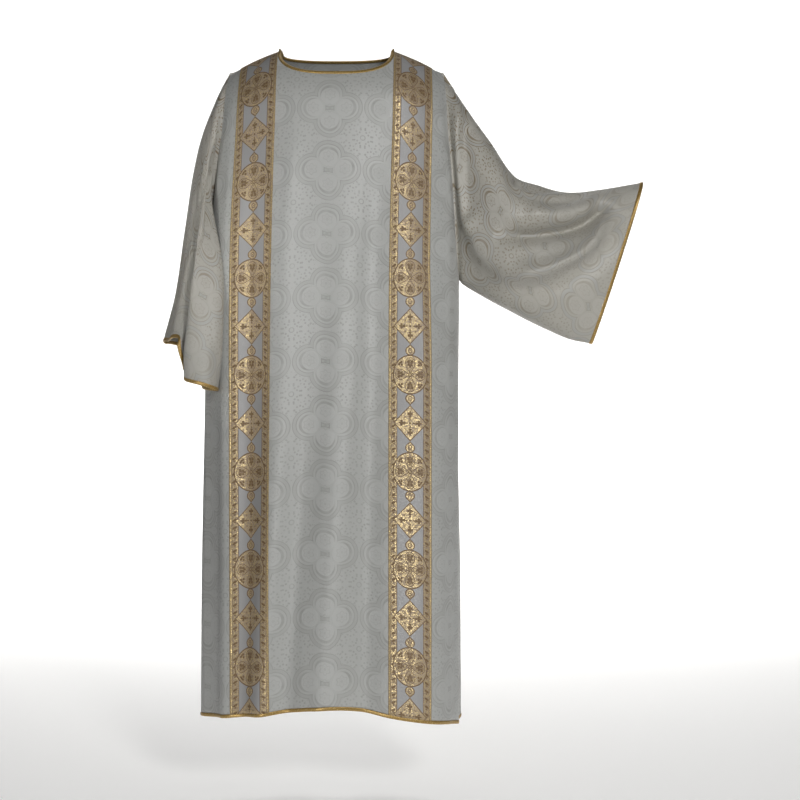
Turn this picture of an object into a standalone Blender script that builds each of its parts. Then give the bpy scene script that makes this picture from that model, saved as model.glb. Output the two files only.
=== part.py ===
"""Dalmatic of ivory damask, worn: right sleeve hanging, left sleeve held out to the side.

Metres, +Z up, front towards -Y, +X towards the wearer's left. The origin is the middle of
the neck opening at the height of the neck points, where the shoulders carry the garment.
Each cut piece is a wall of its own, and the seams between them stand open by SEAM_GAP.
"""
import math

import bmesh
import bpy
import numpy as np
from mathutils import Vector

# Driving dimensions
CLOTH = 0.002               # damask with its turnings, front and back panels and sleeves
GALLOON = 0.001             # woven band laid on the panels
SEAM_GAP = 0.0003           # between pieces that are sewn to each other
NECK_HALF = 0.1155          # half of the neck opening, at the neck points
NECK_DROP_FRONT = 0.062
NECK_DROP_BACK = 0.012
NECK_SQUARENESS = 2.8
BAND_WIDTH = 0.082          # galloon, its inner edge on the neck point
SHOULDER_TIP = 0.213        # cut distance from the centre to the top of the armhole
SHOULDER_SLOPE = math.radians(20.5)
SHOULDER_DIP = 0.008        # how much the seam falls further at the tip
SHOULDER_ROUND = 0.12       # depth over which the cloth turns down from the shoulder seam
SEAM_FLAT = 0.05            # width beside a side seam over which the folds die away
HEM_LEVEL = -1.30           # where the folds of the panels are measured
FOLD_RISE = 0.8             # share of its length over which a panel fold reaches its height
UNDERARM = -0.465           # level of the foot of the armhole
BINDING_WIDTH = 0.0055
BINDING_THICKNESS = 0.0044
ROUNDED = 0.33              # share of the binding's width where it is thickest

NECK_COLUMNS = 6            # from the centre to the neck point, on each half
BAND_COLUMNS = 3
SIDE_COLUMNS = 4
NECK_CROWDING = 1.6         # how much closer the columns lie towards the neck point
CROWDED_ROWS = 10           # rows over which the neckline's columns grow even
ARMHOLE_ROWS = 16
ROW_CROWDING = (1.5, 1.25)  # how much closer the rows lie over the shoulder, and at its foot
SKIRT_ROWS = 19
SLEEVE_RINGS = 18
SECTION_STEPS = 180         # chords of a quarter of the body's section
RING_STEPS = 120            # chords of half of a sleeve's ring
PATH_STEPS = 60             # chords of a drag fold's path
SLOPE_STEP = 0.002          # reach over which the slopes of a panel are taken
SHARP_ANGLE = math.radians(50)
SPLIT_RULE = Vector((0.31, 0.17, 1.0))   # the higher end along this takes the diagonal
FRONT, BACK = -1, 1         # sign of y
RIGHT, LEFT = -1, 1         # sign of x, the wearer's right and left

# The worn body, level by level: half width, depth to the front and to the back, how square
# the section is, and how far its centre lies to the side
BODY = [
    dict(z=0.00, half=0.240, front=0.105, back=0.100, square=2.4, centre=0.000),
    dict(z=-0.12, half=0.245, front=0.115, back=0.112, square=2.6, centre=-0.001),
    dict(z=-0.25, half=0.250, front=0.127, back=0.122, square=2.7, centre=-0.004),
    dict(z=-0.465, half=0.256, front=0.134, back=0.126, square=2.8, centre=-0.008),
    dict(z=-0.75, half=0.2545, front=0.140, back=0.132, square=2.8, centre=-0.009),
    dict(z=-1.05, half=0.2545, front=0.148, back=0.141, square=2.7, centre=-0.009),
    dict(z=-1.36, half=0.2555, front=0.156, back=0.150, square=2.6, centre=-0.009),
]

# Half of the armhole's opening, from front to back, where the cloth has turned down
ARMHOLE = [
    dict(z=-0.045, half=0.064),
    dict(z=-0.12, half=0.064),
    dict(z=-0.20, half=0.060),
    dict(z=-0.30, half=0.050),
    dict(z=-0.38, half=0.037),
    dict(z=-0.43, half=0.024),
    dict(z=-0.452, half=0.014),
    dict(z=-0.465, half=0.0),
]

# Level of the hem across a panel, from the right side seam (-1) to the left one (1)
HEM = {
    FRONT: [
        dict(across=-1.0, z=-1.337),
        dict(across=-0.35, z=-1.3125),
        dict(across=0.0, z=-1.300),
        dict(across=0.45, z=-1.325),
        dict(across=1.0, z=-1.356),
    ],
    BACK: [
        dict(across=-1.0, z=-1.337),
        dict(across=-0.4, z=-1.330),
        dict(across=0.0, z=-1.322),
        dict(across=0.5, z=-1.338),
        dict(across=1.0, z=-1.356),
    ],
}

# Folds of the panels, in cut distance from the centre: where each starts, where it meets the
# hem, its height there (below 0 is a trough) and its half width
PANEL_FOLDS = {
    FRONT: [
        dict(start=-0.052, top=-0.28, foot=-0.130, height=0.010, width=0.036),
        dict(start=0.006, top=-0.24, foot=-0.088, height=-0.012, width=0.032),
        dict(start=0.044, top=-0.22, foot=-0.018, height=0.011, width=0.033),
        dict(start=0.078, top=-0.18, foot=0.058, height=-0.012, width=0.031),
        dict(start=0.215, top=-0.18, foot=0.220, height=0.014, width=0.024),
        dict(start=0.262, top=-0.30, foot=0.272, height=-0.014, width=0.022),
        dict(start=-0.232, top=-0.44, foot=-0.236, height=-0.012, width=0.026),
        dict(start=-0.290, top=-0.50, foot=-0.300, height=0.012, width=0.026),
    ],
    BACK: [
        dict(start=0.000, top=-0.20, foot=0.012, height=-0.016, width=0.034),
        dict(start=-0.060, top=-0.24, foot=-0.078, height=0.013, width=0.030),
        dict(start=0.058, top=-0.22, foot=0.082, height=0.014, width=0.030),
        dict(start=-0.100, top=-0.34, foot=-0.128, height=-0.010, width=0.024),
        dict(start=0.214, top=-0.26, foot=0.222, height=-0.013, width=0.028),
        dict(start=-0.222, top=-0.30, foot=-0.232, height=0.013, width=0.028),
        dict(start=0.280, top=-0.50, foot=0.292, height=0.012, width=0.026),
        dict(start=-0.284, top=-0.50, foot=-0.292, height=-0.012, width=0.024),
    ],
}

# Sleeves, station by station from armhole to cuff: the line over the arm, the line of the
# underarm seam, depth to the front and to the back, how far those two sides lean in over the
# body, and how square the ring is
SLEEVE = {
    LEFT: [
        dict(at=0.00, top=(0.207, 0.000, -0.042), low=(0.248, 0.000, -0.465),
             front=0.062, back=0.062, lean=0.0, square=2.0),
        dict(at=0.13, top=(0.262, 0.000, -0.119), low=(0.282, 0.000, -0.487),
             front=0.074, back=0.072, lean=0.0, square=2.0),
        dict(at=0.27, top=(0.311, 0.000, -0.184), low=(0.314, 0.000, -0.506),
             front=0.088, back=0.082, lean=0.0, square=2.1),
        dict(at=0.42, top=(0.357, 0.000, -0.250), low=(0.350, 0.000, -0.525),
             front=0.098, back=0.092, lean=0.0, square=2.2),
        dict(at=0.56, top=(0.411, 0.000, -0.271), low=(0.388, 0.000, -0.545),
             front=0.094, back=0.088, lean=0.0, square=2.2),
        dict(at=0.70, top=(0.469, 0.000, -0.285), low=(0.428, 0.000, -0.564),
             front=0.084, back=0.078, lean=0.0, square=2.2),
        dict(at=0.85, top=(0.542, 0.000, -0.278), low=(0.470, 0.000, -0.582),
             front=0.066, back=0.064, lean=0.0, square=2.1),
        dict(at=1.00, top=(0.6156, 0.000, -0.265), low=(0.513, 0.000, -0.591),
             front=0.050, back=0.050, lean=0.0, square=2.0),
    ],
    RIGHT: [
        dict(at=0.00, top=(-0.207, 0.000, -0.042), low=(-0.264, 0.000, -0.465),
             front=0.062, back=0.062, lean=0.0, square=2.0),
        dict(at=0.10, top=(-0.231, 0.000, -0.080), low=(-0.271, 0.000, -0.484),
             front=0.074, back=0.070, lean=0.0, square=2.0),
        dict(at=0.25, top=(-0.270, 0.004, -0.157), low=(-0.274, 0.000, -0.520),
             front=0.096, back=0.084, lean=0.014, square=2.0),
        dict(at=0.42, top=(-0.292, 0.008, -0.239), low=(-0.272, 0.000, -0.558),
             front=0.118, back=0.100, lean=0.025, square=2.1),
        dict(at=0.62, top=(-0.310, 0.012, -0.361), low=(-0.264, 0.000, -0.600),
             front=0.136, back=0.114, lean=0.032, square=2.2),
        dict(at=0.84, top=(-0.329, 0.016, -0.503), low=(-0.250, 0.000, -0.645),
             front=0.144, back=0.122, lean=0.032, square=2.2),
        dict(at=1.00, top=(-0.349, 0.018, -0.588), low=(-0.240, 0.000, -0.672),
             front=0.146, back=0.126, lean=0.024, square=2.2),
    ],
}
SLEEVE_FULLNESS = {LEFT: 0.22, RIGHT: 0.0}   # how much deeper a ring is above its middle
ARMHOLE_FADE = 0.30                          # share of the sleeve that eases out of the seam
DRAG_FADE = 0.20                             # share over which its folds rise from the armhole
PATH_FADE = 0.20                             # share of its path over which a drag fold rises
UNDERARM_FLAT = 0.4                          # how far its folds keep from its top and its seam
CUFF_FALL = 0.5                              # share of the sleeve below which the cuff tilts
CLEAR_FROM = 0.12                            # share at which the hanging sleeve has its clearance
SLEEVE_CLEARANCE = 0.006                     # hanging sleeve from the body beside it

# Folds of the held-out sleeve, as paths through x and z on one face of it
DRAG_FOLDS = [
    dict(face=FRONT, height=0.021, width=0.026, path=[
        (0.548, -0.320), (0.510, -0.386), (0.431, -0.436), (0.354, -0.446),
        (0.281, -0.388), (0.249, -0.316), (0.236, -0.190), (0.222, -0.095)]),
    dict(face=FRONT, height=-0.020, width=0.020, path=[
        (0.549, -0.302), (0.516, -0.344), (0.482, -0.360), (0.426, -0.372),
        (0.379, -0.378), (0.315, -0.374)]),
    dict(face=FRONT, height=-0.010, width=0.018, path=[
        (0.250, -0.130), (0.257, -0.240), (0.272, -0.345)]),
    dict(face=FRONT, height=-0.010, width=0.018, path=[
        (0.340, -0.262), (0.390, -0.290), (0.437, -0.304), (0.510, -0.290)]),
    dict(face=FRONT, height=0.009, width=0.020, path=[
        (0.372, -0.336), (0.446, -0.340), (0.526, -0.314)]),
    dict(face=FRONT, height=-0.010, width=0.024, path=[
        (0.330, -0.492), (0.420, -0.486), (0.500, -0.440), (0.560, -0.370)]),
    dict(face=BACK, height=0.016, width=0.032, path=[
        (0.560, -0.330), (0.500, -0.410), (0.400, -0.450), (0.310, -0.410),
        (0.262, -0.300), (0.232, -0.110)]),
    dict(face=BACK, height=-0.015, width=0.026, path=[
        (0.556, -0.292), (0.490, -0.350), (0.400, -0.372), (0.320, -0.330)]),
    dict(face=BACK, height=-0.008, width=0.026, path=[
        (0.340, -0.500), (0.430, -0.494), (0.520, -0.430)]),
]

# Flutes of the hanging sleeve: where each lies round the ring (0 over the arm, 0.25 front,
# 0.5 inside, 0.75 back) at its start and at the cuff, and its height at the cuff
FLUTES = [
    dict(start=0.140, top=0.45, foot=0.256, height=-0.027, width=0.026),
    dict(start=0.240, top=0.30, foot=0.308, height=0.014, width=0.034),
    dict(start=0.080, top=0.40, foot=0.195, height=0.013, width=0.034),
    dict(start=0.06, top=0.30, foot=0.045, height=0.006, width=0.045),
    dict(start=0.78, top=0.25, foot=0.790, height=0.012, width=0.045),
    dict(start=0.86, top=0.42, foot=0.865, height=-0.020, width=0.034),
]
# Level of the hanging cuff, above or below the ring's own plane
CUFF_TILT = [
    dict(round=0.00, lift=0.002),
    dict(round=0.11, lift=0.008),
    dict(round=0.210, lift=0.006),
    dict(round=0.252, lift=-0.036),
    dict(round=0.310, lift=-0.033),
    dict(round=0.40, lift=-0.014),
    dict(round=0.50, lift=0.0),
    dict(round=0.75, lift=0.006),
    dict(round=1.00, lift=0.002),
]

IVORY = dict(colour=(0.72, 0.70, 0.64), roughness=0.55, metallic=0.0)
GOLD_GALLOON = dict(colour=(0.50, 0.40, 0.28), roughness=0.45, metallic=0.3)
GOLD_BRAID = dict(colour=(0.62, 0.44, 0.16), roughness=0.35, metallic=0.8)

BAND_EDGE = NECK_HALF + BAND_WIDTH
HALF_COLUMNS = NECK_COLUMNS + BAND_COLUMNS + SIDE_COLUMNS
PANEL_ROWS = ARMHOLE_ROWS + SKIRT_ROWS


# Curves and easing

def eased(value):
    """0 below 0, 1 above 1, and a smooth step between."""
    value = min(max(value, 0.0), 1.0)
    return value * value * (3 - 2 * value)


def read(table, key, at, *names):
    """Values of the named columns where the key column is at, on a smooth curve."""
    rows = sorted(table, key=lambda row: row[key])
    knots = np.array([row[key] for row in rows], float)
    values = np.array([np.hstack([row[name] for name in names]) for row in rows], float)
    slopes = np.gradient(values, knots, axis=0)
    at = min(max(at, knots[0]), knots[-1])
    k = min(int(np.searchsorted(knots, at, side="right")) - 1, len(knots) - 2)
    width = knots[k + 1] - knots[k]
    s = (at - knots[k]) / width
    return ((1 + 2 * s) * (1 - s) ** 2 * values[k] + s * (1 - s) ** 2 * width * slopes[k]
            + s * s * (3 - 2 * s) * values[k + 1] + s * s * (s - 1) * width * slopes[k + 1])


def signed_power(value, power):
    return np.sign(value) * np.abs(value) ** power


# Body panels

def quarter_section(z, face):
    """A quarter of the body's section at level z: arc length, x and depth, centre to side."""
    half, front, back, square = read(BODY, "z", z, "half", "front", "back", "square")
    depth = front if face == FRONT else back
    turn = np.linspace(0, math.pi / 2, SECTION_STEPS + 1)
    x = half * np.sin(turn) ** (2 / square)
    y = depth * np.cos(turn) ** (2 / square)
    arc = np.concatenate([[0], np.cumsum(np.hypot(np.diff(x), np.diff(y)))])
    return arc, x, y


def cut_edge(z, face):
    """Cut distance from the centre to the panel's edge: the armhole, or the side seam."""
    arc, _, y = quarter_section(z, face)
    half = float(read(ARMHOLE, "z", z, "half")[0]) if z > UNDERARM else 0.0
    return float(np.interp(half, y[::-1], arc[::-1]))


def shoulder(cut):
    """x and z of the shoulder seam, continued level over the neck opening."""
    beyond = max(cut - NECK_HALF, 0.0)
    share = beyond / (SHOULDER_TIP - NECK_HALF)
    x = min(cut, NECK_HALF) + beyond * math.cos(SHOULDER_SLOPE)
    return x, -beyond * math.sin(SHOULDER_SLOPE) - SHOULDER_DIP * share ** 3


def top_edge(cut, face):
    """Level of the panel's top edge: neckline, then shoulder seam."""
    if cut >= NECK_HALF:
        return shoulder(cut)[1]
    drop = NECK_DROP_FRONT if face == FRONT else NECK_DROP_BACK
    return -drop * (1 - (cut / NECK_HALF) ** NECK_SQUARENESS) ** (1 / NECK_SQUARENESS)


def column_cut(column, edge, down):
    """Cut distance of a column, counted from the centre, in a row that ends at edge.

    The columns crowd towards the neck points along the neckline, where down is 0, and are
    even where it is 1.
    """
    if column <= NECK_COLUMNS:
        share = column / NECK_COLUMNS
        turn = math.pi / 2 * (1 - (1 - share) ** NECK_CROWDING)
        crowded = math.sin(turn) ** (2 / NECK_SQUARENESS)
        return NECK_HALF * (crowded + (share - crowded) * eased(down))
    column -= NECK_COLUMNS
    if column <= BAND_COLUMNS:
        return NECK_HALF + BAND_WIDTH * column / BAND_COLUMNS
    return BAND_EDGE + (edge - BAND_EDGE) * (column - BAND_COLUMNS) / SIDE_COLUMNS


def row_share(row):
    """How far down the armhole a row lies: close together over the shoulder and at its foot."""
    above, below = ROW_CROWDING
    return 1 - (1 - min(row / ARMHOLE_ROWS, 1.0) ** above) ** below


def fold_height(face, cut, z):
    """How far the panel's folds lift the cloth at a signed cut distance and level."""
    total = 0.0
    for fold in PANEL_FOLDS[face]:
        down = (fold["top"] - z) / (fold["top"] - HEM_LEVEL)
        middle = fold["start"] + (fold["foot"] - fold["start"]) * down
        profile = math.exp(-((cut - middle) / fold["width"]) ** 2)
        total += fold["height"] * eased(down / FOLD_RISE) * profile
    return total


def panel_place(face, side, cut, z):
    """The panel's outer face at a cut distance from the centre and a level."""
    arc, xs, ys = quarter_section(z, face)
    cut = min(cut, float(arc[-1]))
    x, y = np.interp(cut, arc, xs), np.interp(cut, arc, ys)
    ahead, behind = min(cut + 2 * SLOPE_STEP, arc[-1]), max(cut - 2 * SLOPE_STEP, 0.0)
    along = np.array([np.interp(ahead, arc, xs) - np.interp(behind, arc, xs),
                      np.interp(ahead, arc, ys) - np.interp(behind, arc, ys)])
    along /= np.linalg.norm(along)
    ridge_x, ridge_z = shoulder(cut)
    below = min(max((ridge_z - z) / SHOULDER_ROUND, 0.0), 1.0)
    turned = math.sqrt(1 - (1 - below) ** 2)
    spread = eased(below)
    lift = fold_height(face, side * cut, z) * spread * eased((arc[-1] - cut) / SEAM_FLAT)
    x = (1 - spread) * ridge_x + spread * x - lift * along[1]
    y = y * turned + lift * along[0]
    centre = float(read(BODY, "z", z, "centre")[0])
    return np.array([centre + side * x, face * y, z])


def panel_normal(face, side, cut, z):
    """Direction out of the panel, from its slopes across and down."""
    across = (panel_place(face, side, cut + SLOPE_STEP, z)
              - panel_place(face, side, cut - SLOPE_STEP, z))
    down = panel_place(face, side, cut, z - SLOPE_STEP) - panel_place(face, side, cut, z)
    normal = np.cross(across, down) * side * face
    return normal / np.linalg.norm(normal)


def panel_grid(face):
    """Outer points and normals of a panel: rows from the top, columns from right to left."""
    shape = (PANEL_ROWS + 1, 2 * HALF_COLUMNS + 1, 3)
    points, normals = np.zeros(shape), np.zeros(shape)
    tip = shoulder(SHOULDER_TIP)[1]
    middle_hem = float(read(HEM[face], "across", 0.0, "z")[0])
    for row in range(PANEL_ROWS + 1):
        share = row_share(row)
        skirt = max(row - ARMHOLE_ROWS, 0) / SKIRT_ROWS
        edge_z = tip + (UNDERARM - tip) * share + (middle_hem - UNDERARM) * skirt
        edge = SHOULDER_TIP if row == 0 else cut_edge(edge_z, face)
        for column in range(HALF_COLUMNS + 1):
            top = top_edge(column_cut(column, SHOULDER_TIP, 0.0), face)
            column_at = column_cut(column, edge, row / CROWDED_ROWS)
            for side in (RIGHT, LEFT):
                hem = float(read(HEM[face], "across", side * column_at / edge, "z")[0])
                z = top + (UNDERARM - top) * share + (hem - UNDERARM) * skirt
                cut = column_at
                if column == HALF_COLUMNS and row >= ARMHOLE_ROWS:
                    cut = cut_edge(z, face)
                place = HALF_COLUMNS + side * column
                points[row, place] = panel_place(face, side, cut, z)
                normals[row, place] = panel_normal(face, side, cut, z)
    return points, normals


# Sleeves

def armhole_ring(front, back, side):
    """Armhole edge as a ring: from the shoulder down the front and up the back."""
    edge = 2 * HALF_COLUMNS if side == LEFT else 0
    down = front[:ARMHOLE_ROWS + 1, edge]
    up = back[1:ARMHOLE_ROWS, edge][::-1]
    return np.vstack([down, up])


def ring_shares(ring):
    """Share of the length of each half of a ring at which its points lie."""
    shares = []
    for half in (ring[:ARMHOLE_ROWS + 1], np.vstack([ring[ARMHOLE_ROWS:], ring[:1]])):
        length = np.concatenate([[0], np.cumsum(np.linalg.norm(np.diff(half, axis=0), axis=1))])
        shares.append(length / length[-1])
    return shares


def plain_ring(side, at, shares):
    """A ring of the sleeve without folds, its points spread as the armhole's are."""
    names = ("top", "low", "front", "back", "lean", "square")
    values = read(SLEEVE[side], "at", at, *names)
    top, low = values[0:3], values[3:6]
    front, back, lean, square = values[6:10]
    middle, arm = (top + low) / 2, (top - low) / 2
    points = []
    for depth, share, start in ((-front, shares[0], 0.0), (-back, shares[1], math.pi)):
        turn = start + np.linspace(0, math.pi, RING_STEPS + 1)
        up, out = np.cos(turn), np.sin(turn)
        fuller = 1 + SLEEVE_FULLNESS[side] * up
        curve = middle + np.outer(signed_power(up, 2 / square), arm)
        curve[:, 0] -= side * lean * np.abs(out)
        curve[:, 1] += depth * signed_power(out, 2 / square) * fuller
        length = np.concatenate([[0], np.cumsum(np.linalg.norm(np.diff(curve, axis=0), axis=1))])
        places = share * length[-1]
        half = np.array([[np.interp(place, length, curve[:, k]) for k in range(3)]
                         for place in places])
        points.append(half[:-1])
    return np.vstack(points)


def drag_height(face, x, z, paths):
    """How far the folds of the held-out sleeve lift a point of one of its faces."""
    total = 0.0
    for fold, samples in paths:
        if fold["face"] != face:
            continue
        gaps = np.hypot(samples[:, 0] - x, samples[:, 1] - z)
        nearest = int(np.argmin(gaps))
        along = nearest / (len(samples) - 1)
        fade = eased(along / PATH_FADE + 0.15) * eased((1 - along) / PATH_FADE + 0.15)
        total += fold["height"] * fade * math.exp(-(gaps[nearest] / fold["width"]) ** 2)
    return total


def fold_paths():
    """The drag folds with smooth paths through their points."""
    paths = []
    for fold in DRAG_FOLDS:
        knots = np.linspace(0, 1, len(fold["path"]))
        rows = [dict(at=knot, place=point) for knot, point in zip(knots, fold["path"])]
        samples = np.array([read(rows, "at", t, "place") for t in np.linspace(0, 1, PATH_STEPS + 1)])
        paths.append((fold, samples))
    return paths


def flute_height(at, place):
    """How far the flutes of the hanging sleeve lift it, at a share of its length and ring."""
    total = 0.0
    for flute in FLUTES:
        down = (at - flute["top"]) / (1 - flute["top"])
        middle = flute["start"] + (flute["foot"] - flute["start"]) * max(down, 0.0)
        profile = math.exp(-((place - middle) / flute["width"]) ** 2)
        total += flute["height"] * eased(down) * profile
    return total


def clear_of_body(point, clearance):
    """The point, moved out where it lies inside the body's section with a clearance."""
    half, front, back, square, centre = read(
        BODY, "z", point[2], "half", "front", "back", "square", "centre")
    tip_x, tip_z = shoulder(SHOULDER_TIP)
    below = min(max((tip_z - point[2]) / SHOULDER_ROUND, 0.0), 1.0)
    half = tip_x + (half - tip_x) * eased(below) + clearance
    depth = (front if point[1] < 0 else back) * math.sqrt(1 - (1 - below) ** 2) + clearance
    reach = (abs(point[0] - centre) / half) ** square + (abs(point[1]) / depth) ** square
    if reach >= 1:
        return point
    grow = reach ** (-1 / square)
    return np.array([centre + (point[0] - centre) * grow, point[1] * grow, point[2]])


def sleeve_grid(front, back, side):
    """Outer points of a sleeve, ring by ring from the armhole to the cuff."""
    seam = armhole_ring(front, back, side)
    shares = ring_shares(seam)
    count = len(seam)
    leave = seam - plain_ring(side, 0.0, shares)
    rings = []
    for k in range(SLEEVE_RINGS + 1):
        at = k / SLEEVE_RINGS
        rings.append(plain_ring(side, at, shares) + leave * (1 - eased(at / ARMHOLE_FADE)))
    grid = np.array(rings)
    normals = grid_normals(grid, closed=True, flip=side == LEFT)
    paths = fold_paths()
    moved = grid.copy()
    for k in range(1, SLEEVE_RINGS + 1):
        at = k / SLEEVE_RINGS
        for j in range(count):
            x, y, z = grid[k, j]
            if side == LEFT:
                face = FRONT if j <= ARMHOLE_ROWS else BACK
                within = abs(math.sin(math.pi * j / ARMHOLE_ROWS))
                lift = drag_height(face, x, z, paths) * min(within / UNDERARM_FLAT, 1.0)
                lift *= eased(at / DRAG_FADE)
            else:
                lift = flute_height(at, j / count)
            moved[k, j] = grid[k, j] + normals[k, j] * lift
            if side == RIGHT:
                tilt = float(read(CUFF_TILT, "round", j / count, "lift")[0])
                moved[k, j, 2] += tilt * eased((at - CUFF_FALL) / (1 - CUFF_FALL))
                clearance = SLEEVE_CLEARANCE * eased(at / CLEAR_FROM) + SEAM_GAP
                moved[k, j] = clear_of_body(moved[k, j], clearance)
    return moved, grid_normals(moved, closed=True, flip=side == LEFT)


# Walls

def grid_triangles(rows, columns, closed, flip, middle=None):
    """Triangles of a grid, as row and column pairs, split alike on both sides of its middle."""
    middle = columns // 2 if middle is None else middle
    triangles = []
    for i in range(rows - 1):
        for j in range(columns if closed else columns - 1):
            k = (j + 1) % columns
            a, b, c, d = (i, j), (i + 1, j), (i + 1, k), (i, k)
            halves = ((a, b, d), (b, c, d)) if j < middle else ((a, b, c), (a, c, d))
            for corners in halves:
                triangles.append(corners[::-1] if flip else corners)
    return triangles


def grid_normals(grid, closed, flip):
    normals = np.zeros_like(grid)
    for corners in grid_triangles(grid.shape[0], grid.shape[1], closed, flip):
        p, q, r = (grid[corner] for corner in corners)
        for corner in corners:
            normals[corner] += np.cross(q - p, r - p)
    return normals / np.linalg.norm(normals, axis=2, keepdims=True)


class Surface:
    """The outer face of one cut piece: its points, their normals, and how it is joined up."""

    def __init__(self, name, grid, normals, closed, flip):
        self.name, self.grid, self.normals = name, grid, normals
        self.closed, self.flip = closed, flip


def share_normals(surfaces):
    """Make the normals agree where the edges of two or more pieces meet."""
    met = {}
    for surface in surfaces:
        for point, normal in zip(surface.grid.reshape(-1, 3), surface.normals.reshape(-1, 3)):
            # normals that already agree count once
            met.setdefault(tuple(np.round(point, 6)), {})[tuple(np.round(normal, 3))] = normal
    for surface in surfaces:
        keys = [tuple(point) for point in np.round(surface.grid, 6).reshape(-1, 3)]
        shared = np.array([sum(met[key].values()) for key in keys])
        shared /= np.linalg.norm(shared, axis=1, keepdims=True)
        surface.normals = shared.reshape(surface.grid.shape)


def drawn_back(points, edge, inside):
    """Move an edge's points half a seam gap towards the points inside it."""
    step = points[inside] - points[edge]
    step /= np.linalg.norm(step, axis=-1, keepdims=True)
    points[edge] += step * SEAM_GAP / 2


def material(name, look):
    made = bpy.data.materials.new(name)
    made.use_nodes = True
    shader = made.node_tree.nodes["Principled BSDF"]
    shader.inputs["Base Color"].default_value = (*look["colour"], 1.0)
    shader.inputs["Roughness"].default_value = look["roughness"]
    shader.inputs["Metallic"].default_value = look["metallic"]
    return made


def link_mesh(name, mesh, collection, look):
    made = bpy.data.meshes.new(name)
    mesh.to_mesh(made)
    mesh.free()
    made.materials.append(material(name, look))
    made.shade_smooth()
    made.set_sharp_from_angle(angle=SHARP_ANGLE)
    thing = bpy.data.objects.new(name, made)
    collection.objects.link(thing)
    return thing


def split_quad(mesh, a, b, c, d, flip):
    """Two triangles on a quad between two pieces' edges, split alike on both pieces."""
    if a.co.dot(SPLIT_RULE) > b.co.dot(SPLIT_RULE):
        triangles = [(a, b, c), (a, c, d)]
    else:
        triangles = [(b, c, d), (b, d, a)]
    for corners in triangles:
        mesh.faces.new(corners[::-1] if flip else corners)


def loft_wall(name, outer, inner, closed, flip, collection, look, middle=None):
    """A closed wall between an outer and an inner grid of the same rows and columns."""
    rows, columns = outer.shape[:2]
    mesh = bmesh.new()
    out = [[mesh.verts.new(point) for point in row] for row in outer]
    back = [[mesh.verts.new(point) for point in row] for row in inner]
    for corners in grid_triangles(rows, columns, closed, flip, middle):
        mesh.faces.new([out[i][j] for i, j in corners])
        mesh.faces.new([back[i][j] for i, j in corners[::-1]])
    top = [(0, j) for j in range(columns)]
    foot = [(rows - 1, j) for j in range(columns)]
    if closed:
        rims = [foot + foot[:1], (top + top[:1])[::-1]]
    else:
        left = [(i, 0) for i in range(rows)]
        right = [(i, columns - 1) for i in range(rows)]
        rims = [left + foot[1:] + right[-2::-1] + top[-2::-1]]
    for rim in rims:
        for (i, j), (k, m) in zip(rim, rim[1:]):
            split_quad(mesh, out[i][j], out[k][m], back[k][m], back[i][j], not flip)
    return link_mesh(name, mesh, collection, look)


def make_panel(surface, collection):
    outer = surface.grid.copy()
    inner = outer - surface.normals * CLOTH
    last = 2 * HALF_COLUMNS
    shoulders = [j for j in range(last + 1) if abs(j - HALF_COLUMNS) >= NECK_COLUMNS]
    for points in (outer, inner):
        drawn_back(points, np.s_[:, 0], np.s_[:, 1])
        drawn_back(points, np.s_[:, last], np.s_[:, last - 1])
        drawn_back(points, np.s_[0, shoulders], np.s_[1, shoulders])
    return loft_wall(surface.name, outer, inner, False, surface.flip, collection, IVORY)


def make_sleeve(surface, collection):
    outer = surface.grid.copy()
    inner = outer - surface.normals * CLOTH
    for points in (outer, inner):
        drawn_back(points, np.s_[0], np.s_[1])
    return loft_wall(surface.name, outer, inner, True, surface.flip, collection, IVORY)


def make_band(name, surface, side, collection):
    """Galloon laid on a panel: the panel's own points, moved out."""
    first = HALF_COLUMNS + side * NECK_COLUMNS
    last = first + side * BAND_COLUMNS
    low, high = min(first, last), max(first, last)
    points = surface.grid[:, low:high + 1]
    normals = surface.normals[:, low:high + 1]
    inner = points + normals * SEAM_GAP
    outer = inner + normals * GALLOON
    for grid in (outer, inner):
        drawn_back(grid, np.s_[0, :], np.s_[1, :])
    middle = HALF_COLUMNS - low     # so that the galloon is split as the panel under it
    return loft_wall(name, outer, inner, False, surface.flip, collection, GOLD_GALLOON, middle)


def make_binding(name, edge, inside, normals, collection):
    """A braid round an open edge: a rounded section carried along it, just beyond it."""
    proud = (BINDING_THICKNESS - CLOTH) / 2
    section = [(0.0, 0.0), (ROUNDED, proud), (1.0, proud / 2),
               (1.0, -CLOTH - proud / 2), (ROUNDED, -CLOTH - proud), (0.0, -CLOTH)]
    along = np.roll(edge, -1, axis=0) - np.roll(edge, 1, axis=0)
    away = np.cross(along, normals)
    away /= np.linalg.norm(away, axis=1, keepdims=True)
    if np.sum(away * (edge - inside)) < 0:
        away = -away
    mesh = bmesh.new()
    loops = []
    for out, up in section:
        points = edge + away * (SEAM_GAP + out * BINDING_WIDTH) + normals * up
        loops.append([mesh.verts.new(point) for point in points])
    for loop, beside in zip(loops, loops[1:] + loops[:1]):
        for j in range(len(edge)):
            k = (j + 1) % len(edge)
            split_quad(mesh, beside[j], beside[k], loop[k], loop[j], False)
    bmesh.ops.recalc_face_normals(mesh, faces=mesh.faces)
    return link_mesh(name, mesh, collection, GOLD_BRAID)


def open_ring(front, back, row, reach):
    """Points of one row of both panels, as a ring within reach columns of the centre."""
    columns = list(range(HALF_COLUMNS - reach, HALF_COLUMNS + reach + 1))
    return np.vstack([front[row, columns], back[row, columns[-2:0:-1]]])


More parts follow.
